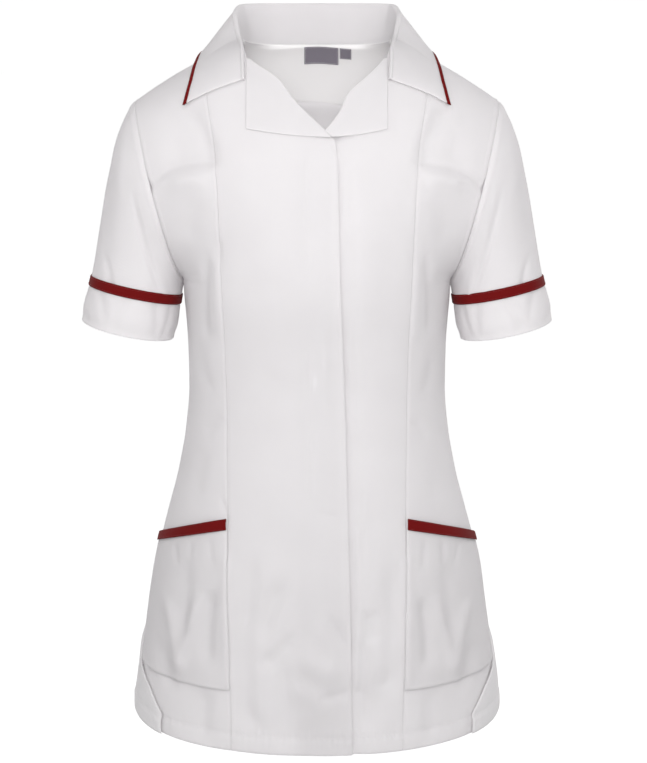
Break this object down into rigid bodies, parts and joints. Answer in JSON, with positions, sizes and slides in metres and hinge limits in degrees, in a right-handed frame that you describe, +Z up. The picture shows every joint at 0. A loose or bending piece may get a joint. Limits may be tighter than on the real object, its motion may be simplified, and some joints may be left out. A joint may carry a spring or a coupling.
{
  "type": "revere collar tunic",
  "caption": "Short-sleeved uniform tunic in its worn form, with a revere collar, princess seams, hip pockets, side vents and contrast trim.",
  "frame": {"origin": "on the centre line, midway between the two points where the shoulder seams meet the neck, where the wearer's shoulders carry the tunic", "axes": "+Z up, the front faces -Y, and +X is the wearer's left"},
  "size_m": [0.4914, 0.287, 0.7585],
  "materials": {
    "cloth": "plain matt white poly-cotton",
    "trim": "matt deep red bias tape",
    "label": "grey woven tape, bare",
    "zip": "white concealed zip"
  },
  "bodies": {
    "root": {"back": "cloth", "back_neck_facing": "cloth", "collar": "cloth", "collar_piping": "trim", "cuff_left": "cloth", "cuff_right": "cloth", "cuff_trim_left": "trim", "cuff_trim_right": "trim", "front_left": "cloth", "front_right": "cloth", "front_zip": "zip", "lapel_left": "cloth", "lapel_right": "cloth", "neck_label": "label", "pocket_left": "cloth", "pocket_right": "cloth", "pocket_trim_left": "trim", "pocket_trim_right": "trim", "side_front_left": "cloth", "side_front_right": "cloth", "size_tab": "label", "sleeve_left": "cloth", "sleeve_right": "cloth"}
  },
  "joints": []
}
